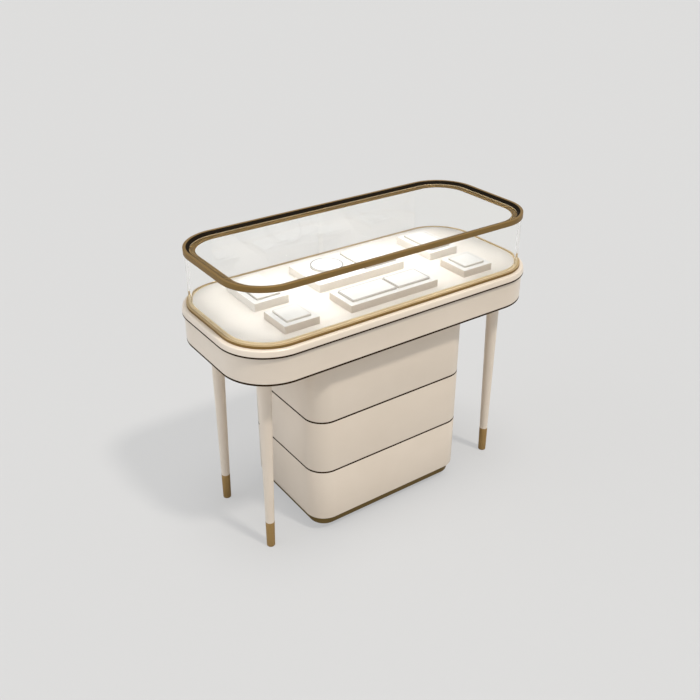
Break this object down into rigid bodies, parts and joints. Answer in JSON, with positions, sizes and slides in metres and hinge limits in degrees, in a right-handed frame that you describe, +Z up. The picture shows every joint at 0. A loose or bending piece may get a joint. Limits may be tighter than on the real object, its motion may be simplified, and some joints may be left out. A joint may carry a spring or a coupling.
{
  "type": "glass jewelry showcase",
  "caption": "Jewelry showcase: a round-cornered lit glass case in brass trim on a cream lacquered table with tapered legs and a central tiered pedestal with drawers.",
  "frame": {"origin": "on the floor, under the middle of the table top", "axes": "+X along the length, -Y towards the customers, +Y towards the staff side with the doors and drawers, +Z up"},
  "size_m": [1.2, 0.552, 1.0085],
  "materials": {
    "cream_lacquer": "satin cream lacquer",
    "brushed_brass": "satin brass",
    "dark_line": "dark bronze lacquer",
    "clear_glass": "polished clear",
    "display_white": "matte warm white",
    "black_rubber": "matte black",
    "birch_ply": "clear varnish",
    "driver_case": "natural",
    "light_strip": "diffusing"
  },
  "bodies": {
    "showcase": {"apron_band": "cream_lacquer", "apron_lower_line": "dark_line", "apron_upper_line": "dark_line", "back_left_riser": "display_white", "back_middle_riser": "display_white", "back_right_riser": "display_white", "cord_gland": "black_rubber", "display_deck": "display_white", "ferrule_front_left": "brushed_brass", "ferrule_front_right": "brushed_brass", "ferrule_rear_left": "brushed_brass", "ferrule_rear_right": "brushed_brass", "front_glass": "clear_glass", "front_left_riser": "display_white", "front_middle_riser": "display_white", "front_right_riser": "display_white", "glass_base_channel": "brushed_brass", "left_end_glass": "clear_glass", "leg_front_left": "cream_lacquer", "leg_front_right": "cream_lacquer", "leg_rear_left": "cream_lacquer", "leg_rear_right": "cream_lacquer", "light_driver": "driver_case", "light_strip_front": "light_strip", "light_strip_rear": "light_strip", "lower_drawer_runner_left": "birch_ply", "lower_drawer_runner_right": "birch_ply", "lower_pedestal_line": "dark_line", "lower_tier": "cream_lacquer", "middle_drawer_runner_left": "birch_ply", "middle_drawer_runner_right": "birch_ply", "middle_tier": "cream_lacquer", "pedestal_base_board": "birch_ply", "pedestal_foot_front_left": "black_rubber", "pedestal_foot_front_right": "black_rubber", "pedestal_foot_rear_left": "black_rubber", "pedestal_foot_rear_right": "black_rubber", "plinth_band": "brushed_brass", "right_end_glass": "clear_glass", "table_top": "cream_lacquer", "top_pane": "clear_glass", "top_pane_seal": "black_rubber", "top_rim": "brushed_brass", "upper_drawer_runner_left": "birch_ply", "upper_drawer_runner_right": "birch_ply", "upper_pedestal_line": "dark_line", "upper_tier": "cream_lacquer"},
    "left_door": {"left_door": "clear_glass"},
    "right_door": {"right_door": "clear_glass"},
    "upper_drawer": {"upper_drawer_front": "cream_lacquer", "upper_drawer_box": "birch_ply"},
    "middle_drawer": {"middle_drawer_front": "cream_lacquer", "middle_drawer_box": "birch_ply"},
    "lower_drawer": {"lower_drawer_front": "cream_lacquer", "lower_drawer_box": "birch_ply"}
  },
  "joints": [
    {"name": "left_door_slide", "type": "slide", "parent": "showcase", "child": "left_door", "axis": [1, 0, 0], "range_m": [0, 0.415]},
    {"name": "right_door_slide", "type": "slide", "parent": "showcase", "child": "right_door", "axis": [-1, 0, 0], "range_m": [0, 0.415]},
    {"name": "upper_drawer_slide", "type": "slide", "parent": "showcase", "child": "upper_drawer", "axis": [0, 1, 0], "range_m": [0, 0.3]},
    {"name": "middle_drawer_slide", "type": "slide", "parent": "showcase", "child": "middle_drawer", "axis": [0, 1, 0], "range_m": [0, 0.3]},
    {"name": "lower_drawer_slide", "type": "slide", "parent": "showcase", "child": "lower_drawer", "axis": [0, 1, 0], "range_m": [0, 0.3]}
  ]
}
